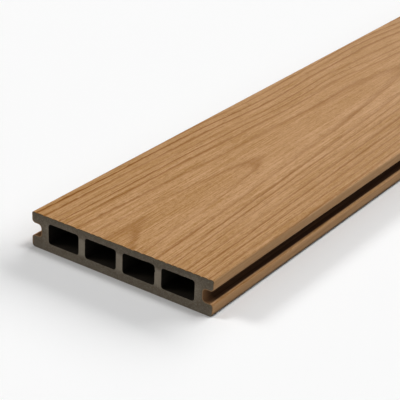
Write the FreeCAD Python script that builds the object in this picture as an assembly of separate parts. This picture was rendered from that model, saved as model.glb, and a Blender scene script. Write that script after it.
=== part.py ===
import FreeCAD, Part
import math
import os

# Hollow composite decking board, extruded in one pass from two compounds: a grey core with a
# row of chambers through it, and a thin wood-coloured cap over its face, its edges and the
# clip groove along each edge. Only the underside is left bare.
#
# X runs across the board, Y along it and Z up. The origin is in the middle of the underside.
# All sizes are in millimetres.

# Overall size
BOARD_WIDTH = 140.0
BOARD_THICKNESS = 25.0
BOARD_LENGTH = 2200.0

# Clip groove along each edge, between a lower lip and an upper one
LOWER_LIP_THICKNESS = 8.6
GROOVE_HEIGHT = 8.6
GROOVE_DEPTH = 7.5
GROOVE_ROOT_RADIUS = 2.4

# Rounding of the edges
FACE_EDGE_RADIUS = 1.5
UPPER_LIP_NOSE_RADIUS = 2.4
LOWER_LIP_NOSE_RADIUS = 2.2
UNDERSIDE_EDGE_RADIUS = 2.2

# Cap, which ends in a foot just above the underside
CAP_THICKNESS = 0.6
CAP_FOOT_HEIGHT = 1.6

# Chambers, which share out what the walls and webs leave free
CHAMBER_COUNT = 4
CHAMBER_CORNER_RADIUS = 2.0
FACE_WALL = 4.8
UNDERSIDE_WALL = 6.0
WEB_THICKNESS = 5.0
EDGE_WEB_THICKNESS = 6.0


def section_point(x, z):
    """Point of the cross-section, on the plane of the near end."""
    return FreeCAD.Vector(x, -BOARD_LENGTH / 2, z)


def corner_arc(before, corner, after):
    """Start, middle and end of the arc that rounds a right-angled corner."""
    x, z, radius = corner
    point = section_point(x, z)
    towards_before = section_point(before[0], before[1]).sub(point)
    towards_after = section_point(after[0], after[1]).sub(point)
    # Two arcs share each run, so neither takes more than half of it.
    reach = min(max(radius, 0), towards_before.Length / 2, towards_after.Length / 2)
    towards_before.normalize()
    towards_after.normalize()
    start = point + towards_before * reach
    end = point + towards_after * reach
    middle = point + (towards_before + towards_after) * reach * (1 - math.sqrt(0.5))
    return start, middle, end


def rounded_face(corners):
    """Flat face inside a loop of right-angled corners, each given as x, z and its radius."""
    count = len(corners)
    arcs = []
    for index in range(count):
        arcs.append(corner_arc(corners[index - 1], corners[index], corners[(index + 1) % count]))
    edges = []
    for index in range(count):
        previous_end = arcs[index - 1][2]
        start, middle, end = arcs[index]
        if previous_end.distanceToPoint(start) > Part.Precision.confusion():
            edges.append(Part.LineSegment(previous_end, start).toShape())
        if start.distanceToPoint(end) > Part.Precision.confusion():
            edges.append(Part.Arc(start, middle, end).toShape())
    return Part.Face(Part.Wire(edges))


def board_face(inset):
    """Outline of the whole board, drawn in by inset all the way round."""
    edge_x = BOARD_WIDTH / 2 - inset
    groove_x = BOARD_WIDTH / 2 - GROOVE_DEPTH - inset
    groove_floor_z = LOWER_LIP_THICKNESS - inset
    groove_roof_z = LOWER_LIP_THICKNESS + GROOVE_HEIGHT + inset
    root_radius = GROOVE_ROOT_RADIUS + inset
    right_side = [
        (edge_x, inset, UNDERSIDE_EDGE_RADIUS - inset),
        (edge_x, groove_floor_z, LOWER_LIP_NOSE_RADIUS - inset),
        (groove_x, groove_floor_z, root_radius),
        (groove_x, groove_roof_z, root_radius),
        (edge_x, groove_roof_z, UPPER_LIP_NOSE_RADIUS - inset),
        (edge_x, BOARD_THICKNESS - inset, FACE_EDGE_RADIUS - inset),
    ]
    left_side = [(-x, z, radius) for x, z, radius in reversed(right_side)]
    return rounded_face(right_side + left_side)


def rectangle_face(left, right, bottom, top, radius=0):
    """Rectangle of the cross-section, with all its corners rounded alike."""
    corners = [(left, bottom), (right, bottom), (right, top), (left, top)]
    return rounded_face([(x, z, radius) for x, z in corners])


def cap_face():
    """Skin of even thickness that wraps the face, the lips and the grooves down to its foot."""
    skin = board_face(0).cut(board_face(CAP_THICKNESS))
    half_width = BOARD_WIDTH / 2
    return skin.cut(rectangle_face(-half_width, half_width, 0, CAP_FOOT_HEIGHT))


def chamber_faces():
    """The row of like chambers between the two edge webs."""
    row_width = BOARD_WIDTH - 2 * (GROOVE_DEPTH + EDGE_WEB_THICKNESS)
    chamber_width = (row_width - (CHAMBER_COUNT - 1) * WEB_THICKNESS) / CHAMBER_COUNT
    top = BOARD_THICKNESS - FACE_WALL
    faces = []
    for index in range(CHAMBER_COUNT):
        left = -row_width / 2 + index * (chamber_width + WEB_THICKNESS)
        right = left + chamber_width
        faces.append(rectangle_face(left, right, UNDERSIDE_WALL, top, CHAMBER_CORNER_RADIUS))
    return faces


def extruded(face):
    """The solid that a face of the cross-section makes over the whole length of the board."""
    solid = face.Faces[0].extrude(FreeCAD.Vector(0, BOARD_LENGTH, 0))
    return solid


def cap():
    """Wood-coloured cap."""
    return extruded(cap_face())


def core():
    """Grey hollow core, which fills the cap and forms the underside."""
    face = board_face(0).cut(cap_face())
    for chamber in chamber_faces():
        face = face.cut(chamber)
    return extruded(face)


os.makedirs("parts", exist_ok=True)
core().exportStep("parts/core.step")
cap().exportStep("parts/cap.step")
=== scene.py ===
"""Looks of a hollow, capped composite decking board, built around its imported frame.

The board has two pieces. The core is the grey extrusion with its chambers, sawn off at both
ends. The cap is the wood-coloured skin over its face, edges and grooves, with the grain that
a roller pressed into the face. Shapes are worked out in millimetres and put into the frame's
metres when each mesh is finished.
"""
import logging
import math
from dataclasses import dataclass, field
from enum import Enum
from typing import Any

import bmesh
import bpy
from mathutils import Matrix, Vector, noise


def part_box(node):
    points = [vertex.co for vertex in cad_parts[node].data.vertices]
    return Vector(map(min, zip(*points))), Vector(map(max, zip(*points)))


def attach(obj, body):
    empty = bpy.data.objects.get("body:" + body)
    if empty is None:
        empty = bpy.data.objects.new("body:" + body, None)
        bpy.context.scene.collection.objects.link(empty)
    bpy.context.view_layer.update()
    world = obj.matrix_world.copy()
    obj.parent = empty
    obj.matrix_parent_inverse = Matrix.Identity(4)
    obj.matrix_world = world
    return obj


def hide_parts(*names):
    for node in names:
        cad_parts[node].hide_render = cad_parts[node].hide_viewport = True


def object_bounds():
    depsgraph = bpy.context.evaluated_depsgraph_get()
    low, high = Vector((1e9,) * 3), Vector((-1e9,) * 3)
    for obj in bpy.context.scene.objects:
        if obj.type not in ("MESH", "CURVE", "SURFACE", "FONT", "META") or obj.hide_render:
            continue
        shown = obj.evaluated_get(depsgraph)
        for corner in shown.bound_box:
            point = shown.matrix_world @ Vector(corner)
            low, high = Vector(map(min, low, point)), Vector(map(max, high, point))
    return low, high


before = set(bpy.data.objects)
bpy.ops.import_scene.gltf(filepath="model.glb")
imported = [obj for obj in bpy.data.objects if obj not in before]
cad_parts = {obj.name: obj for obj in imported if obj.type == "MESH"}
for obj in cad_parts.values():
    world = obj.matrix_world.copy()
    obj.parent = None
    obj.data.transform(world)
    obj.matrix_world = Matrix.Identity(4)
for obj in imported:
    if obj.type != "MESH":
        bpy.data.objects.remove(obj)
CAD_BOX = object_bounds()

LOG = logging.getLogger("decking_board")

MM = 0.001
BODY = "root"
RING_ATTRIBUTE = "growth_ring"
BOLD_ATTRIBUTE = "growth_line"

# Sockets of the Mix node when it mixes colours
MIX_SHARE = 0
MIX_FIRST = 6
MIX_SECOND = 7
MIX_RESULT = 2


class Compound(Enum):
    """The two compounds that the board is extruded from, by the names of their nodes."""

    CORE = "core"
    CAP = "cap"


class Surface(Enum):
    """Surfaces of a piece, in the order of its material slots."""

    OUTSIDE = 0
    SAWN = 1
    HOLLOW = 2


def linear(colour: str) -> tuple[float, float, float, float]:
    """Turns an sRGB hex colour into a linear one.

    Args:
        colour: The colour as RRGGBB.

    Returns:
        Linear red, green and blue, and an alpha of one.
    """
    channels = [int(colour[start:start + 2], 16) / 255 for start in (0, 2, 4)]
    red, green, blue = [
        value / 12.92 if value <= 0.04045 else ((value + 0.055) / 1.055) ** 2.4
        for value in channels
    ]
    return red, green, blue, 1.0


def smooth_step(low: float, high: float, value: float) -> float:
    """Rises smoothly from 0 at low to 1 at high, as a Map Range node does."""
    share = min(max((value - low) / (high - low), 0.0), 1.0)
    return share * share * (3 - 2 * share)


def add_node(tree: bpy.types.NodeTree, kind: str, inputs: dict[Any, Any] | None = None,
             **settings: Any) -> bpy.types.Node:
    """Adds a node with its settings and links.

    Args:
        tree: The node tree of a material or of the world.
        kind: The node's type, without the words ShaderNode in front.
        inputs: Values, or output sockets to link, by the input's name or number.
        settings: Properties of the node.

    Returns:
        The new node.
    """
    node = tree.nodes.new("ShaderNode" + kind)
    for name, value in settings.items():
        setattr(node, name, value)
    for name, value in (inputs or {}).items():
        if isinstance(value, bpy.types.NodeSocket):
            tree.links.new(value, node.inputs[name])
        else:
            node.inputs[name].default_value = value
    return node


def new_material(name: str) -> tuple[bpy.types.Material, bpy.types.NodeTree]:
    """Makes a material with nothing but its output in its node tree.

    Args:
        name: The material's name.

    Returns:
        The material and its node tree.
    """
    material = bpy.data.materials.new(name)
    material.use_nodes = True
    tree = material.node_tree
    tree.nodes.clear()
    add_node(tree, "OutputMaterial")
    return material, tree


@dataclass(frozen=True)
class Section:
    """Cross-section of the board, in millimetres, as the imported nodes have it."""

    width: float
    thickness: float
    cap_thickness: float
    cap_foot: float
    lower_lip: float = 8.6
    groove_height: float = 8.6
    groove_depth: float = 7.5
    groove_root_radius: float = 2.4
    face_edge_radius: float = 1.5
    upper_nose_radius: float = 2.4
    lower_nose_radius: float = 2.2
    underside_radius: float = 2.2
    chamber_count: int = 4
    chamber_radius: float = 2.0
    face_wall: float = 4.8
    underside_wall: float = 6.0
    web: float = 5.0
    edge_web: float = 6.0
    arc_segments: int = 5

    @classmethod
    def from_frame(cls) -> "Section":
        """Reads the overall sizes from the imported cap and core."""
        cap_low, cap_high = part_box(Compound.CAP.value)
        core_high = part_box(Compound.CORE.value)[1]
        return cls(
            width=(cap_high.x - cap_low.x) / MM,
            thickness=cap_high.z / MM,
            cap_thickness=(cap_high.z - core_high.z) / MM,
            cap_foot=cap_low.z / MM,
        )

    def add_rounded_face(self, bm: bmesh.types.BMesh,
                         corners: list[tuple[float, float, float]]) -> bmesh.types.BMFace:
        """Adds a flat face with rounded corners, on the plane of the section.

        Args:
            bm: The mesh to add to.
            corners: Place across, height and radius of each corner, in order.

        Returns:
            The new face.
        """
        others = set(bm.faces)
        verts = [bm.verts.new((x, 0, z)) for x, z, _ in corners]
        bm.faces.new(verts)
        for vert, (_, _, radius) in zip(verts, corners):
            bmesh.ops.bevel(bm, geom=[vert], offset=radius, offset_type="OFFSET",
                            segments=self.arc_segments, profile=0.5, affect="VERTICES",
                            material=-1)
        return next(face for face in bm.faces if face not in others)

    def add_outline(self, bm: bmesh.types.BMesh) -> bmesh.types.BMFace:
        """Adds the outline of the whole board as one face.

        Args:
            bm: The mesh to add to.

        Returns:
            The new face.
        """
        edge = self.width / 2
        root = edge - self.groove_depth
        roof = self.lower_lip + self.groove_height
        right = [
            (edge, 0.0, self.underside_radius),
            (edge, self.lower_lip, self.lower_nose_radius),
            (root, self.lower_lip, self.groove_root_radius),
            (root, roof, self.groove_root_radius),
            (edge, roof, self.upper_nose_radius),
            (edge, self.thickness, self.face_edge_radius),
        ]
        left = [(-x, z, radius) for x, z, radius in reversed(right)]
        return self.add_rounded_face(bm, right + left)

    def chamber_corners(self, index: int) -> list[tuple[float, float, float]]:
        """Corners of one chamber of the row, for add_rounded_face."""
        row = self.width - 2 * (self.groove_depth + self.edge_web)
        chamber = (row - (self.chamber_count - 1) * self.web) / self.chamber_count
        left = -row / 2 + index * (chamber + self.web)
        right = left + chamber
        top = self.thickness - self.face_wall
        places = [(left, self.underside_wall), (right, self.underside_wall),
                  (right, top), (left, top)]
        return [(x, z, self.chamber_radius) for x, z in places]

    def split(self, bm: bmesh.types.BMesh, keep: Compound) -> None:
        """Parts the outline into cap and core, and keeps the faces of one of them.

        Args:
            bm: A mesh that holds the outline's face alone.
            keep: The compound whose faces stay.
        """
        ring = bmesh.ops.inset_region(bm, faces=bm.faces[:], thickness=self.cap_thickness,
                                      use_even_offset=True, use_boundary=True)["faces"]
        around = {part for face in ring for part in (face, *face.edges, *face.verts)}
        bmesh.ops.bisect_plane(bm, geom=list(around), dist=1e-4,
                               plane_co=(0, 0, self.cap_foot), plane_no=(0, 0, 1))
        inner = max(bm.faces, key=lambda face: face.calc_area())
        cap = [face for face in bm.faces
               if face != inner and face.calc_center_median().z > self.cap_foot]
        core = [face for face in bm.faces if face not in set(cap)]
        dropped = core if keep is Compound.CAP else cap
        bmesh.ops.delete(bm, geom=dropped, context="FACES")


@dataclass(frozen=True)
class Bulge:
    """Smooth swelling of the rings around one place of the face, in millimetres."""

    amount: float
    across: float
    along: float
    width: float
    length: float

    def at(self, across: float, along: float) -> float:
        """Amount by which a point's distance from the pith grows."""
        aside = (across - self.across) / self.width
        onward = (along - self.along) / self.length
        return self.amount * math.exp(-aside * aside - onward * onward)


@dataclass(frozen=True)
class GrowthRings:
    """Figure of a plain-sawn plank, as a roller presses it into the face.

    The rings lie around a pith that sinks away below the face towards the far end. Along the
    edges they cross the face as lines that draw together, and in the middle each of them
    closes in a pointed arch. Lengths are in millimetres, and along is counted from the near
    end.
    """

    pith_depth: float = 59.3
    taper: float = 3.64
    centre: float = -7.6
    point: float = 17.4
    point_radius: float = 2.5
    tip_place: float = 1.5
    tip_sway: float = 8.5
    tip_sway_length: float = 900.0
    tip_sway_start: float = 20.0
    first_radius: float = 63.0
    first_years: tuple[float, ...] = (2.9, 5.6, 4.9, 2.8, 3.2, 5.2, 4.4, 4.0)
    later_year: float = 4.4
    bulges: tuple[Bulge, ...] = (
        Bulge(1.73, across=5.8, along=30.4, width=8.5, length=28.6),
        Bulge(-0.99, across=-12.5, along=38.7, width=5.1, length=19.3),
        Bulge(1.8, across=-60.0, along=245.0, width=15.0, length=50.0),
        Bulge(-2.0, across=-38.0, along=330.0, width=22.0, length=38.0),
        Bulge(-3.3, across=-58.0, along=412.0, width=16.0, length=65.0),
    )
    faintest: float = 0.03
    fading: float = 0.18
    wobble: float = 0.8
    wobble_size: tuple[float, float] = (26.0, 130.0)
    tremor: float = 0.35
    tremor_size: tuple[float, float] = (7.0, 45.0)

    def radius(self, across: float, along: float) -> float:
        """Distance from the pith to a point of the face.

        Args:
            across: Place across the board, carried on down its edges.
            along: Distance from the near end.

        Returns:
            The distance, drawn out towards the arches' points.
        """
        turn = math.tau * (along - self.tip_sway_start) / self.tip_sway_length
        tip = self.tip_place + self.tip_sway * math.cos(turn)
        point = self.point * math.hypot(across - tip, self.point_radius)
        square = self.pith_depth ** 2 + self.taper * along + (across - self.centre) ** 2
        return math.sqrt(square + point) + sum(bulge.at(across, along)
                                               for bulge in self.bulges)

    def boldness(self, across: float, along: float) -> float:
        """How strongly a ring's line shows: fully where rings crowd, less in the arches."""
        middle = self.radius(across, along)
        pace = math.hypot(self.radius(across + 0.5, along) - middle,
                          self.radius(across, along + 0.5) - middle) / 0.5
        return min(max(pace, self.faintest), 1.0) ** self.fading

    def ring(self, across: float, along: float) -> float:
        """The ring at a point of the face, a whole number on each ring's boundary.

        Args:
            across: Place across the board, carried on down its edges.
            along: Distance from the near end.

        Returns:
            The ring's number, with its share up to the next boundary.
        """
        rest = self.radius(across, along) - self.first_radius
        for amount, (wide, long), layer in ((self.wobble, self.wobble_size, 0.5),
                                            (self.tremor, self.tremor_size, 7.5)):
            rest += amount * noise.noise(Vector((across / wide, along / long, layer)))
        number = 0
        if rest > 0:
            for year in self.first_years:
                if rest < year:
                    return number + rest / year
                rest -= year
                number += 1
        return number + rest / self.later_year


@dataclass(frozen=True)
class RingLine:
    """How a ring darkens and sinks towards its boundary, in shares of the ring's width.

    In the arches, where the rings are wide and less bold, the line takes a smaller share.
    """

    start: float = 0.4
    crest: float = 0.88
    end: float = 0.99
    narrowing: float = 1.9

    def depth(self, ring: float, bold: float) -> float:
        """Depth of the relief from 0 to 1 at a ring number with its boldness."""
        phase = ring - math.floor(ring)
        start = self.crest - (self.crest - self.start) * bold ** self.narrowing
        rise = smooth_step(start, self.crest, phase)
        fall = 1 - smooth_step(self.crest, self.end, phase)
        return rise * rise * fall

    def shade(self, tree: bpy.types.NodeTree, ring: bpy.types.NodeSocket,
              bold: bpy.types.NodeSocket) -> bpy.types.NodeSocket:
        """Adds the nodes that work out the same depth in a material.

        Args:
            tree: The material's node tree.
            ring: The ring number.
            bold: The ring's boldness.

        Returns:
            The depth, from 0 to 1.
        """
        phase = add_node(tree, "Math", {0: ring}, operation="FRACT").outputs[0]
        share = add_node(tree, "Math", {0: bold, 1: self.narrowing},
                         operation="POWER").outputs[0]
        start = add_node(tree, "Math", {0: share, 1: self.start - self.crest, 2: self.crest},
                         operation="MULTIPLY_ADD").outputs[0]
        rise = add_node(tree, "MapRange",
                        {"Value": phase, "From Min": start, "From Max": self.crest},
                        interpolation_type="SMOOTHSTEP").outputs[0]
        fall = add_node(tree, "MapRange",
                        {"Value": phase, "From Min": self.crest, "From Max": self.end,
                         "To Min": 1.0, "To Max": 0.0},
                        interpolation_type="SMOOTHSTEP").outputs[0]
        square = add_node(tree, "Math", {0: rise, 1: rise}, operation="MULTIPLY").outputs[0]
        return add_node(tree, "Math", {0: square, 1: fall}, operation="MULTIPLY").outputs[0]


@dataclass(frozen=True)
class GrooveCap:
    """Cap inside a clip groove: dull, with no sheen to light the hollow, and dark with painted
    shade.

    Painted shade turns it from the edge's brown to near black within the lips, and painted
    light keeps it paler for the last few millimetres before a sawn end.
    """

    # The dark colour is painted shade inside the groove, and the end fade is painted light near
    # a sawn end
    brown: str = "7C5C40"
    dark: str = "35241A"
    fade: tuple[float, float] = (1.2, 3.0)
    end_painted_light_fade: tuple[float, float] = (1.0, 9.0)
    end_painted_shade_share: float = 0.15
    roughness: float = 0.9
    line_size: tuple[float, float] = (1.2, 150.0)
    relief: float = 0.05

    def depth(self, tree: bpy.types.NodeTree, axes: Any,
              section: Section) -> bpy.types.NodeSocket:
        """Adds the nodes for how far inside a groove a point is, from 0 to 1, as a share of
        painted shade.

        Args:
            tree: The material's node tree.
            axes: The point's X, Y and Z in millimetres.
            section: The board's section.

        Returns:
            The share of the painted shade's dark colour.
        """
        edge = section.width / 2
        near, far = self.fade
        aside = add_node(tree, "Math", {0: axes["X"]}, operation="ABSOLUTE").outputs[0]
        inside = add_node(tree, "MapRange", {"Value": aside, "From Min": edge - near,
                                             "From Max": edge - far},
                          interpolation_type="SMOOTHSTEP").outputs[0]
        end = (CAD_BOX[1].y - CAD_BOX[0].y) / MM / 2
        # Painted light: less painted shade for the last millimetres before a sawn end
        near, far = self.end_painted_light_fade
        along = add_node(tree, "Math", {0: axes["Y"]}, operation="ABSOLUTE").outputs[0]
        deep = add_node(tree, "MapRange", {"Value": along, "From Min": end - near,
                                           "From Max": end - far,
                                           "To Min": self.end_painted_shade_share}).outputs[0]
        return add_node(tree, "Math", {0: inside, 1: deep}, operation="MULTIPLY").outputs[0]

    def material(self, section: Section) -> bpy.types.Material:
        """Builds the material.

        Args:
            section: The board's section.

        Returns:
            The material.
        """
        material, tree = new_material("groove_cap_painted_shade")
        place = add_node(tree, "VectorMath",
                         {0: add_node(tree, "TexCoord").outputs["Object"],
                          1: (1 / MM, 1 / MM, 1 / MM)}, operation="MULTIPLY").outputs[0]
        axes = add_node(tree, "SeparateXYZ", {0: place}).outputs
        wide, long = self.line_size
        drawn = add_node(tree, "VectorMath", {0: place, 1: (1 / wide, 1 / long, 1 / wide)},
                         operation="MULTIPLY").outputs[0]
        lines = add_node(tree, "TexNoise", {"Vector": drawn, "Scale": 1.0,
                                            "Detail": 3.0}).outputs["Fac"]
        share = add_node(tree, "MapRange", {"Value": lines, "From Min": 0.3, "From Max": 0.7,
                                            "To Min": 0.85, "To Max": 1.05}).outputs[0]
        share = add_node(tree, "Math", {0: share, 1: self.depth(tree, axes, section)},
                         operation="MULTIPLY").outputs[0]
        colour = add_node(tree, "Mix", {MIX_SHARE: share, MIX_FIRST: linear(self.brown),
                                        MIX_SECOND: linear(self.dark)},
                          data_type="RGBA").outputs[MIX_RESULT]
        bump = add_node(tree, "Bump", {"Height": lines, "Distance": self.relief * MM,
                                       "Strength": 1.0}).outputs[0]
        shader = add_node(tree, "BsdfPrincipled",
                          {"Base Color": colour, "Roughness": self.roughness, "Normal": bump,
                           "Specular IOR Level": 0.0})
        tree.links.new(shader.outputs[0], tree.nodes["Material Output"].inputs[0])
        return material


@dataclass(frozen=True)
class EmbossedCap:
    """Matt polymer cap, coextruded and then embossed with oak grain by a roller.

    The eye sees a warm brown with low contrast: soft darker lines where the rings' late wood
    is pressed in, and finer streaks and dashes between them. The edges are plain, and darker
    with painted shade; painted shade also turns the cap near black just above its foot and in
    the clip grooves.
    """

    light: str = "C1976D"
    deep: str = "9B703A"
    line: str = "7D4B09"
    pore: str = "72450A"
    # The edge colour is plain and darkened with painted shade
    edge: str = "93724E"
    # The foot colour is painted shade, for the dark line along the bottom edge
    foot: str = "2A1C10"
    groove: GrooveCap = field(default_factory=GrooveCap)
    roughness: float = 0.62
    flow_length: float = 140.0
    fibre_size: tuple[float, float] = (0.8, 60.0)
    dash_size: tuple[float, float] = (0.8, 3.5)
    pore_size: tuple[float, float] = (0.6, 7.0)
    speck_size: tuple[float, float] = (0.7, 1.0)
    cloud_size: tuple[float, float] = (28.0, 262.0)
    wander: float = 0.4
    wander_size: tuple[float, float] = (2.5, 11.0)
    band_share: float = 0.4
    band_reach: tuple[float, float] = (-35.0, -66.0)
    band_length: float = 260.0
    right_share: float = 0.18
    right_reach: tuple[float, float] = (24.0, 48.0)
    calm: float = 0.5
    calm_length: float = 1100.0
    relief: float = 0.12
    line_shape: RingLine = field(default_factory=RingLine)

    def material(self, section: Section) -> bpy.types.Material:
        """Builds the material.

        Args:
            section: The board's section, which says where the edges and grooves are.

        Returns:
            The material.
        """
        material, tree = new_material("embossed_oak_polymer_cap")
        place = add_node(tree, "VectorMath",
                         {0: add_node(tree, "TexCoord").outputs["Object"],
                          1: (1 / MM, 1 / MM, 1 / MM)}, operation="MULTIPLY").outputs[0]
        axes = add_node(tree, "SeparateXYZ", {0: place}).outputs
        # The print is clearest at the ends and weaker in between
        turn = add_node(tree, "Math", {0: axes["Y"], 1: math.tau / self.calm_length},
                        operation="MULTIPLY").outputs[0]
        wave = add_node(tree, "Math", {0: turn}, operation="COSINE").outputs[0]
        clear = add_node(tree, "Math", {0: wave, 1: self.calm / 2, 2: 1 - self.calm / 2},
                         operation="MULTIPLY_ADD").outputs[0]
        ring = add_node(tree, "Attribute", attribute_name=RING_ATTRIBUTE).outputs["Fac"]
        wide, long = self.wander_size
        drawn = add_node(tree, "VectorMath", {0: place, 1: (1 / wide, 1 / long, 1 / wide)},
                         operation="MULTIPLY").outputs[0]
        wander = add_node(tree, "TexNoise", {"Vector": drawn, "Scale": 1.0,
                                             "Detail": 2.0}).outputs["Fac"]
        wander = add_node(tree, "MapRange", {"Value": wander, "To Min": -self.wander / 2,
                                             "To Max": self.wander / 2}).outputs[0]
        bold = add_node(tree, "Attribute", attribute_name=BOLD_ATTRIBUTE).outputs["Fac"]
        even = add_node(tree, "Math", {0: bold, 1: 4.0}, operation="POWER").outputs[0]
        drift = add_node(tree, "Math", {0: even, 1: clear}, operation="MULTIPLY").outputs[0]
        ring = add_node(tree, "Math", {0: wander, 1: drift, 2: ring},
                        operation="MULTIPLY_ADD").outputs[0]
        widening = add_node(tree, "Math", {0: clear, 1: -0.45, 2: 1.45},
                            operation="MULTIPLY_ADD").outputs[0]
        widening = add_node(tree, "Math", {0: widening, 1: bold},
                            operation="MULTIPLY").outputs[0]
        line = self.line_shape.shade(tree, ring, widening)

        # Streaks that run with the rings, several to each ring
        along = add_node(tree, "Math", {0: axes["Y"], 1: 1 / self.flow_length},
                         operation="MULTIPLY").outputs[0]
        flow_place = add_node(tree, "CombineXYZ", {"X": ring, "Y": along}).outputs[0]
        flow = add_node(tree, "TexNoise", {"Vector": flow_place, "Scale": 4.2, "Detail": 4.0,
                                           "Roughness": 0.72}).outputs["Fac"]
        breaks = add_node(tree, "TexNoise", {"Vector": flow_place, "Scale": 0.9,
                                             "Detail": 2.0}).outputs["Fac"]
        weakest = add_node(tree, "Math", {0: clear, 1: -0.7, 2: 1.0},
                           operation="MULTIPLY_ADD").outputs[0]
        strength = add_node(tree, "MapRange", {"Value": breaks, "From Min": 0.35,
                                               "From Max": 0.65, "To Min": weakest,
                                               "To Max": 1.0}).outputs[0]
        dim = add_node(tree, "Math", {0: clear, 1: 0.5, 2: 0.5},
                       operation="MULTIPLY_ADD").outputs[0]
        strength = add_node(tree, "Math", {0: strength, 1: dim},
                            operation="MULTIPLY").outputs[0]
        line = add_node(tree, "Math", {0: line, 1: strength}, operation="MULTIPLY").outputs[0]
        line = add_node(tree, "Math", {0: line, 1: bold}, operation="MULTIPLY").outputs[0]

        # Fine fibres, short pores and broad clouds, all drawn out straight along the board
        spots = []
        for (wide, long), detail in ((self.fibre_size, 3.0), (self.dash_size, 3.0),
                                     (self.pore_size, 1.0), (self.speck_size, 1.0),
                                     (self.cloud_size, 2.0)):
            drawn = add_node(tree, "VectorMath", {0: place, 1: (1 / wide, 1 / long, 1 / wide)},
                             operation="MULTIPLY").outputs[0]
            spots.append(add_node(tree, "TexNoise", {"Vector": drawn, "Scale": 1.0,
                                                     "Detail": detail}).outputs["Fac"])
        fibre, dash, pore, speck, cloud = spots
        pore = add_node(tree, "MapRange", {"Value": pore, "From Min": 0.60,
                                           "From Max": 0.78}).outputs[0]

        flow = add_node(tree, "Math", {0: flow, 1: 0.5}, operation="SUBTRACT").outputs[0]
        flow = add_node(tree, "Math", {0: flow, 1: even}, operation="MULTIPLY").outputs[0]
        fine = add_node(tree, "Math", {0: fibre, 1: 0.9, 2: -0.86},
                        operation="MULTIPLY_ADD").outputs[0]
        fine = add_node(tree, "Math", {0: dash, 1: 0.52, 2: fine},
                        operation="MULTIPLY_ADD").outputs[0]
        fine = add_node(tree, "Math", {0: speck, 1: 0.3, 2: fine},
                        operation="MULTIPLY_ADD").outputs[0]
        streak = add_node(tree, "Math", {0: fine, 1: clear, 2: flow},
                          operation="MULTIPLY_ADD").outputs[0]
        tone = add_node(tree, "Math", {0: cloud, 1: 0.28, 2: streak},
                        operation="MULTIPLY_ADD").outputs[0]
        tone = add_node(tree, "Math", {0: bold, 1: 0.2, 2: tone},
                        operation="MULTIPLY_ADD").outputs[0]
        tone = add_node(tree, "MapRange", {"Value": tone, "From Min": 0.11,
                                           "From Max": 0.51}).outputs[0]
        colour = add_node(tree, "Mix", {MIX_SHARE: tone, MIX_FIRST: linear(self.deep),
                                        MIX_SECOND: linear(self.light)},
                          data_type="RGBA").outputs[MIX_RESULT]
        near, far = self.band_reach
        band = add_node(tree, "MapRange", {"Value": axes["X"], "From Min": near,
                                           "From Max": far}).outputs[0]
        end = CAD_BOX[0].y / MM
        fade = add_node(tree, "MapRange", {"Value": axes["Y"], "From Min": end,
                                           "From Max": end + self.band_length,
                                           "To Min": 1.0, "To Max": 0.1}).outputs[0]
        weight = add_node(tree, "Math", {0: band, 1: fade}, operation="MULTIPLY").outputs[0]
        weight = add_node(tree, "Math", {0: weight, 1: 0.6, 2: 0.85},
                          operation="MULTIPLY_ADD").outputs[0]
        fade = add_node(tree, "Math", {0: fade, 1: 0.5, 2: 0.5},
                        operation="MULTIPLY_ADD").outputs[0]
        band = add_node(tree, "Math", {0: band, 1: fade}, operation="MULTIPLY").outputs[0]
        near, far = self.right_reach
        right = add_node(tree, "MapRange", {"Value": axes["X"], "From Min": near,
                                            "From Max": far}).outputs[0]
        for share, weight, shade in ((band, self.band_share, self.deep),
                                     (right, self.right_share, self.deep),
                                     (line, weight, self.line), (pore, 0.5, self.pore)):
            share = add_node(tree, "Math", {0: share, 1: weight},
                             operation="MULTIPLY").outputs[0]
            colour = add_node(tree, "Mix", {MIX_SHARE: share, MIX_FIRST: colour,
                                            MIX_SECOND: linear(shade)},
                              data_type="RGBA").outputs[MIX_RESULT]

        # Plainer edges darkened with painted shade, painted shade above the cap's foot, and
        # painted shade in the grooves between the lips
        aside = add_node(tree, "Math", {0: axes["X"]}, operation="ABSOLUTE").outputs[0]
        edge = section.width / 2
        # Painted shade: the edges take a darker colour along with a plainer one
        side = add_node(tree, "MapRange", {"Value": aside, "From Min": edge - 0.9,
                                           "From Max": edge - 0.1, "To Max": 0.75},
                        interpolation_type="SMOOTHSTEP").outputs[0]
        colour = add_node(tree, "Mix", {MIX_SHARE: side, MIX_FIRST: colour,
                                        MIX_SECOND: linear(self.edge)},
                          data_type="RGBA").outputs[MIX_RESULT]
        # Painted shade: the cap turns near black just above its foot, where shade lies along the
        # bottom edge
        foot_painted_shade = add_node(tree, "MapRange", {"Value": axes["Z"], "From Min": section.cap_foot,
                                           "From Max": section.cap_foot + 1.8,
                                           "To Min": 0.95, "To Max": 0.0}).outputs[0]
        colour = add_node(tree, "Mix", {MIX_SHARE: foot_painted_shade, MIX_FIRST: colour,
                                        MIX_SECOND: linear(self.foot)},
                          data_type="RGBA").outputs[MIX_RESULT]
        # Painted shade: the groove's near black colour inside the grooves between the lips
        below = add_node(tree, "Math", {0: axes["Z"],
                                        1: section.lower_lip + section.groove_height + 1},
                         operation="LESS_THAN").outputs[0]
        inside = add_node(tree, "Math", {0: self.groove.depth(tree, axes, section), 1: below},
                          operation="MULTIPLY").outputs[0]
        colour = add_node(tree, "Mix", {MIX_SHARE: inside, MIX_FIRST: colour,
                                        MIX_SECOND: linear(self.groove.dark)},
                          data_type="RGBA").outputs[MIX_RESULT]

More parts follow.
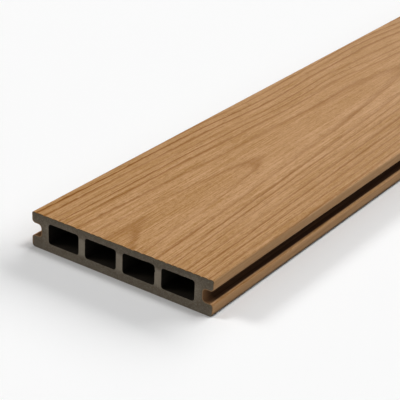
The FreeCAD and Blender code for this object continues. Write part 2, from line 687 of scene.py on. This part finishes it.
        height = add_node(tree, "Math", {0: flow, 1: 0.8, 2: streak},
                          operation="MULTIPLY_ADD").outputs[0]
        height = add_node(tree, "Math", {0: pore, 1: -0.4, 2: height},
                          operation="MULTIPLY_ADD").outputs[0]
        bump = add_node(tree, "Bump", {"Height": height, "Distance": self.relief * MM,
                                       "Strength": 1.0}).outputs[0]
        shader = add_node(tree, "BsdfPrincipled",
                          {"Base Color": colour, "Roughness": self.roughness, "Normal": bump,
                           "Specular IOR Level": 0.1})
        tree.links.new(shader.outputs[0], tree.nodes["Material Output"].inputs[0])
        return material


@dataclass(frozen=True)
class SawnComposite:
    """Wood-plastic composite cut with a saw: dull grey-brown, mottled with wood flour.

    The webs between chambers were pressed less than the rest, so they are paler, and the
    compound is at its darkest right under the cap of the face.
    """

    name: str = "sawn_wood_plastic_composite"
    ground: str = "6B6254"
    fleck: str = "857E6F"
    shadow: str = "564B3D"
    web: str = "988D7D"
    web_share: float = 0.6
    web_height: tuple[float, float] = (4.5, 20.0)
    web_reach: tuple[float, float] = (50.0, 61.5)
    dark: str = "4E463A"
    dark_share: float = 0.5
    dark_height: tuple[float, float] = (19.5, 24.5)
    lip_share: float = 0.3
    lip_reach: tuple[float, float] = (60.0, 67.0)
    foot_share: float = 0.2
    foot_height: tuple[float, float] = (1.0, 6.0)
    roughness: float = 0.85
    fleck_size: float = 0.7
    mottle_size: float = 3.5
    mark_spacing: float = 1.1
    relief: float = 0.10

    def material(self) -> bpy.types.Material:
        """Builds the material."""
        material, tree = new_material(self.name)
        place = add_node(tree, "VectorMath",
                         {0: add_node(tree, "TexCoord").outputs["Object"],
                          1: (1 / MM, 1 / MM, 1 / MM)}, operation="MULTIPLY").outputs[0]
        fleck = add_node(tree, "TexNoise",
                         {"Vector": place, "Scale": 1 / self.fleck_size, "Detail": 3.0,
                          "Roughness": 0.7}).outputs["Fac"]
        mottle = add_node(tree, "TexNoise",
                          {"Vector": place, "Scale": 1 / self.mottle_size, "Detail": 3.0,
                           "Roughness": 0.6}).outputs["Fac"]
        tone = add_node(tree, "MapRange", {"Value": mottle, "From Min": 0.25,
                                           "From Max": 0.75}).outputs[0]
        colour = add_node(tree, "Mix", {MIX_SHARE: tone, MIX_FIRST: linear(self.shadow),
                                        MIX_SECOND: linear(self.ground)},
                          data_type="RGBA").outputs[MIX_RESULT]
        light = add_node(tree, "MapRange", {"Value": fleck, "From Min": 0.5,
                                            "From Max": 0.75}).outputs[0]
        colour = add_node(tree, "Mix", {MIX_SHARE: light, MIX_FIRST: colour,
                                        MIX_SECOND: linear(self.fleck)},
                          data_type="RGBA").outputs[MIX_RESULT]
        axes = add_node(tree, "SeparateXYZ", {0: place}).outputs
        low, high = self.web_height
        off_middle = add_node(tree, "Math", {0: axes["Z"], 1: (low + high) / 2},
                              operation="SUBTRACT").outputs[0]
        off_middle = add_node(tree, "Math", {0: off_middle}, operation="ABSOLUTE").outputs[0]
        web = add_node(tree, "MapRange", {"Value": off_middle, "From Min": (high - low) / 2,
                                          "From Max": (high - low) / 4,
                                          "To Max": self.web_share},
                       interpolation_type="SMOOTHSTEP").outputs[0]
        near, far = self.web_reach
        aside = add_node(tree, "Math", {0: axes["X"]}, operation="ABSOLUTE").outputs[0]
        inner = add_node(tree, "MapRange", {"Value": aside, "From Min": far,
                                            "From Max": near}).outputs[0]
        web = add_node(tree, "Math", {0: web, 1: inner}, operation="MULTIPLY").outputs[0]
        low, high = self.dark_height
        under = add_node(tree, "MapRange", {"Value": axes["Z"], "From Min": low,
                                            "From Max": high,
                                            "To Max": self.dark_share}).outputs[0]
        near, far = self.lip_reach
        lip = add_node(tree, "MapRange", {"Value": aside, "From Min": near, "From Max": far,
                                          "To Max": self.lip_share}).outputs[0]
        low, high = self.foot_height
        foot = add_node(tree, "MapRange", {"Value": axes["Z"], "From Min": high,
                                           "From Max": low,
                                           "To Max": self.foot_share}).outputs[0]
        for share, shade in ((web, self.web), (under, self.dark), (foot, self.web),
                             (lip, self.dark)):
            colour = add_node(tree, "Mix", {MIX_SHARE: share, MIX_FIRST: colour,
                                            MIX_SECOND: linear(shade)},
                              data_type="RGBA").outputs[MIX_RESULT]
        marks = add_node(tree, "TexWave",
                         {"Vector": place, "Scale": 1 / self.mark_spacing / math.tau * 3.0,
                          "Distortion": 1.2, "Detail": 2.0, "Detail Scale": 0.3},
                         wave_type="BANDS", bands_direction="X").outputs["Fac"]
        height = add_node(tree, "Math", {0: marks, 1: 0.25, 2: fleck},
                          operation="MULTIPLY_ADD").outputs[0]
        bump = add_node(tree, "Bump", {"Height": height, "Distance": self.relief * MM,
                                       "Strength": 1.0}).outputs[0]
        shader = add_node(tree, "BsdfPrincipled",
                          {"Base Color": colour, "Roughness": self.roughness, "Normal": bump,
                           "Specular IOR Level": 0.25})
        tree.links.new(shader.outputs[0], tree.nodes["Material Output"].inputs[0])
        return material


@dataclass(frozen=True)
class SawnRim:
    """Cut edge of the cap: a narrow brown rim, rough from the saw and darker towards the face.
    """

    side: str = "87694A"
    face: str = "57432E"
    fleck_size: float = 0.5
    fleck_gain: tuple[float, float] = (0.85, 1.15)
    face_fade: tuple[float, float] = (22.0, 24.3)
    roughness: float = 0.8
    relief: float = 0.08

    def material(self) -> bpy.types.Material:
        """Builds the material."""
        material, tree = new_material("sawn_cap_rim")
        place = add_node(tree, "VectorMath",
                         {0: add_node(tree, "TexCoord").outputs["Object"],
                          1: (1 / MM, 1 / MM, 1 / MM)}, operation="MULTIPLY").outputs[0]
        level = add_node(tree, "SeparateXYZ", {0: place}).outputs["Z"]
        fleck = add_node(tree, "TexNoise", {"Vector": place, "Scale": 1 / self.fleck_size,
                                            "Detail": 2.0}).outputs["Fac"]
        low, high = self.face_fade
        share = add_node(tree, "MapRange", {"Value": level, "From Min": low,
                                            "From Max": high}).outputs[0]
        colour = add_node(tree, "Mix", {MIX_SHARE: share, MIX_FIRST: linear(self.side),
                                        MIX_SECOND: linear(self.face)},
                          data_type="RGBA").outputs[MIX_RESULT]
        low, high = self.fleck_gain
        gain = add_node(tree, "MapRange", {"Value": fleck, "From Min": 0.3, "From Max": 0.7,
                                           "To Min": low, "To Max": high}).outputs[0]
        colour = add_node(tree, "VectorMath", {0: colour, "Scale": gain},
                          operation="SCALE").outputs[0]
        bump = add_node(tree, "Bump", {"Height": fleck, "Distance": self.relief * MM,
                                       "Strength": 1.0}).outputs[0]
        shader = add_node(tree, "BsdfPrincipled",
                          {"Base Color": colour, "Roughness": self.roughness, "Normal": bump,
                           "Specular IOR Level": 0.25})
        tree.links.new(shader.outputs[0], tree.nodes["Material Output"].inputs[0])
        return material


@dataclass(frozen=True)
class ExtrudedComposite:
    """Composite as it leaves the die, with faint draw lines and a colour darker than where it is
    sawn: partly painted shade on the underside, wholly painted shade in the chambers, and near
    black with painted shade on the rounded lower edges.
    """

    name: str
    ground: str
    streak: str
    roughness: float = 0.6
    specular: float = 0.08
    # Painted shade: the rounded lower edges turn near black
    turn: str = "1E160E"
    edge_painted_shade_reach: tuple[float, float] = (66.5, 69.0)
    line_width: float = 1.4
    line_length: float = 180.0
    relief: float = 0.06

    def material(self) -> bpy.types.Material:
        """Builds the material."""
        material, tree = new_material(self.name)
        place = add_node(tree, "VectorMath",
                         {0: add_node(tree, "TexCoord").outputs["Object"],
                          1: (1 / MM, 1 / MM, 1 / MM)}, operation="MULTIPLY").outputs[0]
        drawn = add_node(tree, "VectorMath",
                         {0: place, 1: (1 / self.line_width, 1 / self.line_length,
                                        1 / self.line_width)},
                         operation="MULTIPLY").outputs[0]
        lines = add_node(tree, "TexNoise", {"Vector": drawn, "Scale": 1.0, "Detail": 3.0,
                                            "Roughness": 0.65}).outputs["Fac"]
        tone = add_node(tree, "MapRange", {"Value": lines, "From Min": 0.35,
                                           "From Max": 0.65}).outputs[0]
        colour = add_node(tree, "Mix", {MIX_SHARE: tone, MIX_FIRST: linear(self.ground),
                                        MIX_SECOND: linear(self.streak)},
                          data_type="RGBA").outputs[MIX_RESULT]
        # Painted shade: near black on the rounded lower edges
        near, far = self.edge_painted_shade_reach
        aside = add_node(tree, "Math", {0: add_node(tree, "SeparateXYZ", {0: place}).outputs[0]},
                         operation="ABSOLUTE").outputs[0]
        share = add_node(tree, "MapRange", {"Value": aside, "From Min": near,
                                            "From Max": far}).outputs[0]
        colour = add_node(tree, "Mix", {MIX_SHARE: share, MIX_FIRST: colour,
                                        MIX_SECOND: linear(self.turn)},
                          data_type="RGBA").outputs[MIX_RESULT]
        bump = add_node(tree, "Bump", {"Height": lines, "Distance": self.relief * MM,
                                       "Strength": 1.0}).outputs[0]
        shader = add_node(tree, "BsdfPrincipled",
                          {"Base Color": colour, "Roughness": self.roughness, "Normal": bump,
                           "Specular IOR Level": self.specular})
        tree.links.new(shader.outputs[0], tree.nodes["Material Output"].inputs[0])
        return material


def finish_piece(bm: bmesh.types.BMesh, compound: Compound, length: float,
                 materials: list[bpy.types.Material]) -> bpy.types.Object:
    """Turns a mesh into a shown piece that stands for its CAD node.

    Args:
        bm: The mesh in millimetres, with its near end on the plane y = 0.
        compound: What the piece is made of, which names the node that it replaces.
        length: The board's length in millimetres.
        materials: The piece's materials, in the order of Surface.

    Returns:
        The piece.
    """
    bmesh.ops.recalc_face_normals(bm, faces=bm.faces[:])
    bmesh.ops.translate(bm, verts=bm.verts[:], vec=(0, -length / 2, 0))
    bmesh.ops.scale(bm, verts=bm.verts[:], vec=(MM, MM, MM))
    mesh = bpy.data.meshes.new("board_" + compound.value)
    for face in bm.faces:
        face.smooth = True
    bm.to_mesh(mesh)
    bm.free()
    mesh.set_sharp_from_angle(angle=math.radians(35))
    for material in materials:
        mesh.materials.append(material)
    piece = bpy.data.objects.new("board_" + compound.value, mesh)
    bpy.context.scene.collection.objects.link(piece)
    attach(piece, BODY)
    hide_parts(compound.value)
    return piece


def is_lengthwise(edge: bmesh.types.BMEdge) -> bool:
    """Whether an edge runs along the board."""
    start, end = edge.verts
    return abs(start.co.y - end.co.y) > 10 * abs(start.co.x - end.co.x) + 1e-3


@dataclass
class Cap:
    """Wood-coloured cap, with the grain pressed into its face."""

    section: Section
    length: float
    rings: GrowthRings = field(default_factory=GrowthRings)
    line: RingLine = field(default_factory=RingLine)
    columns: int = 240
    rows: int = 290
    end_crowding: float = 0.72
    relief: float = 0.42
    relief_margin: float = 1.5
    chip: float = 0.5
    chip_size: float = 1.9

    def mesh(self) -> bmesh.types.BMesh:
        """Extrudes the cap and divides its outer walls into columns and rows."""
        bm = bmesh.new()
        outline = self.section.add_outline(bm)
        top = max(outline.edges, key=lambda edge: (edge.verts[0].co + edge.verts[1].co).z)
        bmesh.ops.subdivide_edges(bm, edges=[top], cuts=self.columns - 1)
        outer = bm.verts.layers.int.new("outer")
        outside = bm.verts[:]
        self.section.split(bm, Compound.CAP)
        for vert in bm.verts:
            vert[outer] = 0
        for vert in outside:
            if vert.is_valid:
                vert[outer] = 1
        grown = bmesh.ops.extrude_face_region(bm, geom=bm.faces[:])["geom"]
        moved = [part for part in grown if isinstance(part, bmesh.types.BMVert)]
        bmesh.ops.translate(bm, verts=moved, vec=(0, self.length, 0))
        walls = [edge for edge in bm.edges
                 if is_lengthwise(edge) and edge.verts[0][outer] == 1]
        bmesh.ops.subdivide_edges(bm, edges=walls, cuts=self.rows - 1, use_grid_fill=True)
        return bm

    def spread_rows(self, bm: bmesh.types.BMesh) -> None:
        """Moves the rows closer together towards both ends."""
        for vert in bm.verts:
            share = vert.co.y / self.length
            crowd = self.end_crowding * math.sin(math.tau * share) / math.tau
            vert.co.y = self.length * (share - crowd)

    def across(self, point: Vector) -> float:
        """Place across the face, carried on down the edges."""
        drop = self.section.thickness - point.z
        return math.copysign(abs(point.x) + drop, point.x)

    def in_groove(self, point: Vector) -> bool:
        """Whether a point lies inside a clip groove, past the rounded noses of its lips."""
        section = self.section
        inside = section.width / 2 - abs(point.x) > section.lower_nose_radius
        return inside and point.z < section.lower_lip + section.groove_height + 0.01

    def press(self, bm: bmesh.types.BMesh) -> tuple[list[float], list[float]]:
        """Sinks the grain into the face.

        Args:
            bm: The cap's mesh in millimetres.

        Returns:
            The ring number of each vertex, and how strongly its ring's line shows there.
        """
        numbers, bolds = [], []
        edge = self.section.width / 2 - self.section.face_edge_radius
        for vert in bm.verts:
            number = self.rings.ring(self.across(vert.co), vert.co.y)
            bold = self.rings.boldness(self.across(vert.co), vert.co.y)
            numbers.append(number)
            bolds.append(bold)
            if vert.co.z > self.section.thickness - 1e-3:
                fade = smooth_step(0, self.relief_margin, edge - abs(vert.co.x))
                sunk = self.relief * bold * self.line.depth(number, bold)
                if min(vert.co.y, self.length - vert.co.y) < 1e-3:
                    place = Vector((vert.co.x / self.chip_size, vert.co.y, 2.5))
                    sunk += self.chip * max(noise.noise(place), 0.0)
                vert.co.z -= fade * sunk
        return numbers, bolds

    def build(self, materials: list[bpy.types.Material]) -> bpy.types.Object:
        """Builds the cap.

        Args:
            materials: Its materials, in the order of Surface.

        Returns:
            The piece.
        """
        bm = self.mesh()
        self.spread_rows(bm)
        numbers, bolds = self.press(bm)
        for face in bm.faces:
            ends = all(abs(vert.co.y - face.verts[0].co.y) < 1e-4 for vert in face.verts)
            if ends:
                face.material_index = Surface.SAWN.value
            elif self.in_groove(face.calc_center_median()):
                face.material_index = Surface.HOLLOW.value
        piece = finish_piece(bm, Compound.CAP, self.length, materials)
        for name, values in ((RING_ATTRIBUTE, numbers), (BOLD_ATTRIBUTE, bolds)):
            attribute = piece.data.attributes.new(name, "FLOAT", "POINT")
            attribute.data.foreach_set("value", values)
        LOG.info("%s: %d faces", piece.name, len(piece.data.polygons))
        return piece


@dataclass
class Core:
    """Grey hollow core, with a row of chambers that open at both sawn ends."""

    section: Section
    length: float
    step: float = 1.1
    end_depth: float = 0.8
    roughness: float = 0.09
    nick: float = 0.30
    notches: tuple[tuple[float, float, float, float], ...] = ((22.0, 20.2, 0.0, 0.6),
                                                              (27.0, 16.4, 0.6, 0.0))
    notch_reach: float = 1.0

    def mesh(self) -> bmesh.types.BMesh:
        """Fills the section between its outline and the chambers, and extrudes it."""
        bm = bmesh.new()
        self.section.add_outline(bm)
        self.section.split(bm, Compound.CORE)
        for index in range(self.section.chamber_count):
            face = self.section.add_rounded_face(bm, self.section.chamber_corners(index))
            for edge in list(face.edges):
                cuts = int(edge.calc_length() / self.step)
                if cuts:
                    bmesh.ops.subdivide_edges(bm, edges=[edge], cuts=cuts)
        bmesh.ops.delete(bm, geom=bm.faces[:], context="FACES_KEEP_BOUNDARY")
        bmesh.ops.triangle_fill(bm, use_beauty=True, use_dissolve=False, edges=bm.edges[:])
        grown = bmesh.ops.extrude_face_region(bm, geom=bm.faces[:])["geom"]
        moved = [part for part in grown if isinstance(part, bmesh.types.BMVert)]
        bmesh.ops.translate(bm, verts=moved, vec=(0, self.length, 0))
        for cut in (self.end_depth, self.length - self.end_depth):
            bmesh.ops.bisect_plane(bm, geom=bm.verts[:] + bm.edges[:] + bm.faces[:],
                                   dist=1e-4, plane_co=(0, cut, 0), plane_no=(0, 1, 0))
        return bm

    def in_chambers(self, point: Vector) -> bool:
        """Whether a point lies in a chamber or on its wall."""
        row = self.section.width / 2 - self.section.groove_depth - self.section.edge_web
        low = self.section.underside_wall
        high = self.section.thickness - self.section.face_wall
        return abs(point.x) < row + 0.01 and low - 0.01 < point.z < high + 0.01

    def fray(self, bm: bmesh.types.BMesh) -> None:
        """Roughens the chambers' mouths as a saw leaves them, with a nick here and there."""
        for vert in bm.verts:
            sawn = min(vert.co.y, self.length - vert.co.y) < 1e-3
            if not sawn or not self.in_chambers(vert.co):
                continue
            place = Vector((vert.co.x, vert.co.y / self.length * 50, vert.co.z))
            vert.co.x += self.roughness * noise.noise(place / 1.3)
            vert.co.z += self.roughness * noise.noise(place / 1.3 + Vector((9, 9, 9)))
            chip = smooth_step(0.45, 0.7, noise.noise(place / 2.1 + Vector((3, 1, 4))))
            middle = (self.section.underside_wall + self.section.thickness
                      - self.section.face_wall) / 2
            vert.co.z += math.copysign(self.nick * chip, vert.co.z - middle)
            for across, level, aside, up in self.notches:
                apart = math.hypot(vert.co.x - across, vert.co.z - level)
                if vert.co.y < 1e-3 and apart < self.notch_reach:
                    vert.co.x += aside * (1 - apart / self.notch_reach)
                    vert.co.z += up * (1 - apart / self.notch_reach)

    def build(self, materials: list[bpy.types.Material]) -> bpy.types.Object:
        """Builds the core.

        Args:
            materials: Its materials, in the order of Surface.

        Returns:
            The piece.
        """
        bm = self.mesh()
        for face in bm.faces:
            ends = all(abs(vert.co.y - face.verts[0].co.y) < 1e-4 for vert in face.verts)
            if ends:
                face.material_index = Surface.SAWN.value
            elif self.in_chambers(face.calc_center_median()):
                face.material_index = Surface.HOLLOW.value
        self.fray(bm)
        piece = finish_piece(bm, Compound.CORE, self.length, materials)
        LOG.info("%s: %d faces", piece.name, len(piece.data.polygons))
        return piece


@dataclass(frozen=True)
class PhotoCamera:
    """Camera of the photo, worked out from the board's straight edges.

    Angles are in degrees and lengths in millimetres, around the middle of the near end's
    lower edge.
    """

    azimuth: float = 33.876
    elevation: float = 26.696
    roll: float = 2.637
    distance: float = 841.7
    aside: float = 49.99
    above: float = 49.32
    focal_pixels: float = 1367.5
    frame_pixels: float = 400.0
    sensor: float = 36.0

    def build(self, length: float) -> bpy.types.Object:
        """Places the camera.

        Args:
            length: The board's length in millimetres.

        Returns:
            The camera.
        """
        azimuth, elevation = math.radians(self.azimuth), math.radians(self.elevation)
        back = Vector((math.sin(azimuth) * math.cos(elevation),
                       -math.cos(azimuth) * math.cos(elevation), math.sin(elevation)))
        level = Vector((0, 0, 1)).cross(back).normalized()
        turn = Matrix.Rotation(math.radians(self.roll), 3, back)
        right = turn @ level
        up = back.cross(right)
        place = right * self.aside + up * self.above + back * self.distance
        place += Vector((0, -length / 2, 0))
        data = bpy.data.cameras.new("camera")
        data.sensor_width = self.sensor
        data.lens = self.focal_pixels / self.frame_pixels * self.sensor
        data.clip_start = 0.01
        data.clip_end = 100.0
        camera = bpy.data.objects.new("camera", data)
        turned = Matrix((right, up, back)).transposed().to_4x4()
        camera.matrix_world = Matrix.Translation(place * MM) @ turned
        bpy.context.scene.collection.objects.link(camera)
        bpy.context.scene.camera = camera
        return camera


@dataclass(frozen=True)
class Lamp:
    """Rectangular softbox that points at a spot of the board, with lengths in metres."""

    name: str
    azimuth: float
    elevation: float
    distance: float
    width: float
    height: float
    power: float

    def build(self, spot: Vector) -> bpy.types.Object:
        """Places the softbox.

        Args:
            spot: The point that it points at.

        Returns:
            The lamp.
        """
        azimuth, elevation = math.radians(self.azimuth), math.radians(self.elevation)
        back = Vector((math.sin(azimuth) * math.cos(elevation),
                       -math.cos(azimuth) * math.cos(elevation), math.sin(elevation)))
        data = bpy.data.lights.new(self.name, "AREA")
        data.shape = "RECTANGLE"
        data.size = self.width
        data.size_y = self.height
        data.energy = self.power
        lamp = bpy.data.objects.new(self.name, data)
        lamp.location = spot + back * self.distance
        lamp.rotation_mode = "QUATERNION"
        lamp.rotation_quaternion = (-back).to_track_quat("-Z", "Y")
        bpy.context.scene.collection.objects.link(lamp)
        return lamp


@dataclass
class Studio:
    """Pale floor, white surroundings and soft light.

    Away from the board the floor glows as brightly as the lamps light it near by, so that it
    stays white however far off it is seen.
    """

    floor_size: float = 60.0
    floor_colour: str = "FBFBFB"
    floor_glow: float = 0.975
    glow_fade: tuple[float, float] = (2.0, 4.0)
    sky: float = 0.05
    lamps: tuple[Lamp, ...] = (
        Lamp("back_softbox", azimuth=168.8, elevation=25.3, distance=66.0, width=75.0,
             height=26.0, power=45600.0),
        Lamp("left_softbox", azimuth=295.4, elevation=38.8, distance=66.0, width=21.6,
             height=14.1, power=17460.0),
        Lamp("top_softbox", azimuth=129.6, elevation=71.1, distance=66.0, width=11.4,
             height=23.7, power=15120.0),
    )

    def build_floor(self) -> bpy.types.Object:
        """Lays the floor just below the board's underside."""
        material, tree = new_material("pale_studio_floor")
        shader = add_node(tree, "BsdfDiffuse", {"Color": linear(self.floor_colour)}).outputs[0]
        reach = add_node(tree, "VectorMath",
                         {0: add_node(tree, "TexCoord").outputs["Object"]},
                         operation="LENGTH").outputs["Value"]
        near, far = self.glow_fade
        share = add_node(tree, "MapRange", {"Value": reach, "From Min": near, "From Max": far},
                         interpolation_type="SMOOTHSTEP").outputs[0]
        glow = add_node(tree, "Emission", {"Strength": self.floor_glow}).outputs[0]
        shader = add_node(tree, "MixShader", {0: share, 1: shader, 2: glow}).outputs[0]
        tree.links.new(shader, tree.nodes["Material Output"].inputs[0])
        bm = bmesh.new()
        bmesh.ops.create_grid(bm, x_segments=1, y_segments=1, size=self.floor_size / 2)
        bmesh.ops.translate(bm, verts=bm.verts[:], vec=(0, 0, -0.02 * MM))
        mesh = bpy.data.meshes.new("floor")
        bm.to_mesh(mesh)
        bm.free()
        mesh.materials.append(material)
        floor = bpy.data.objects.new("floor", mesh)
        bpy.context.scene.collection.objects.link(floor)
        return floor

    def build_sky(self) -> None:
        """Lights the scene evenly from all round, and shows white to the camera."""
        world = bpy.data.worlds.new("studio")
        bpy.context.scene.world = world
        world.use_nodes = True
        tree = world.node_tree
        tree.nodes.clear()
        path = add_node(tree, "LightPath")
        seen = add_node(tree, "Math", {0: path.outputs["Is Camera Ray"],
                                       1: path.outputs["Is Glossy Ray"]},
                        operation="MAXIMUM").outputs[0]
        light = add_node(tree, "Background", {"Color": (1, 1, 1, 1), "Strength": self.sky})
        white = add_node(tree, "Background", {"Color": (1, 1, 1, 1), "Strength": 1.0})
        mix = add_node(tree, "MixShader", {0: seen, 1: light.outputs[0], 2: white.outputs[0]})
        add_node(tree, "OutputWorld", {0: mix.outputs[0]})

    def build(self, spot: Vector) -> None:
        """Builds floor, surroundings and lamps.

        Args:
            spot: The point that the lamps point at.
        """
        self.build_floor()
        self.build_sky()
        for lamp in self.lamps:
            lamp.build(spot)
        bpy.context.scene.view_settings.view_transform = "Standard"


def main() -> None:
    """Builds the board, the studio and the camera."""
    logging.basicConfig(level=logging.INFO, format="%(message)s")
    section = Section.from_frame()
    length = (CAD_BOX[1].y - CAD_BOX[0].y) / MM

    embossed = EmbossedCap().material(section)
    groove = GrooveCap().material(section)
    rim = SawnRim().material()
    # The underside's colour is partly painted shade, and its rounded edges are near black
    # painted shade
    underside = ExtrudedComposite("underside_composite_and_painted_shade", ground="4A4238",
                                  streak="575044").material()
    # The chambers' near black colour is painted shade
    chamber = ExtrudedComposite("chamber_composite_painted_shade", ground="1B1814",
                                streak="24201A").material()
    sawn = SawnComposite().material()

    Cap(section, length).build([embossed, rim, groove])
    Core(section, length).build([underside, sawn, chamber])
    PhotoCamera().build(length)
    near_end = Vector((0, CAD_BOX[0].y, 0))
    Studio().build(near_end)


if __name__ == "__main__":
    main()
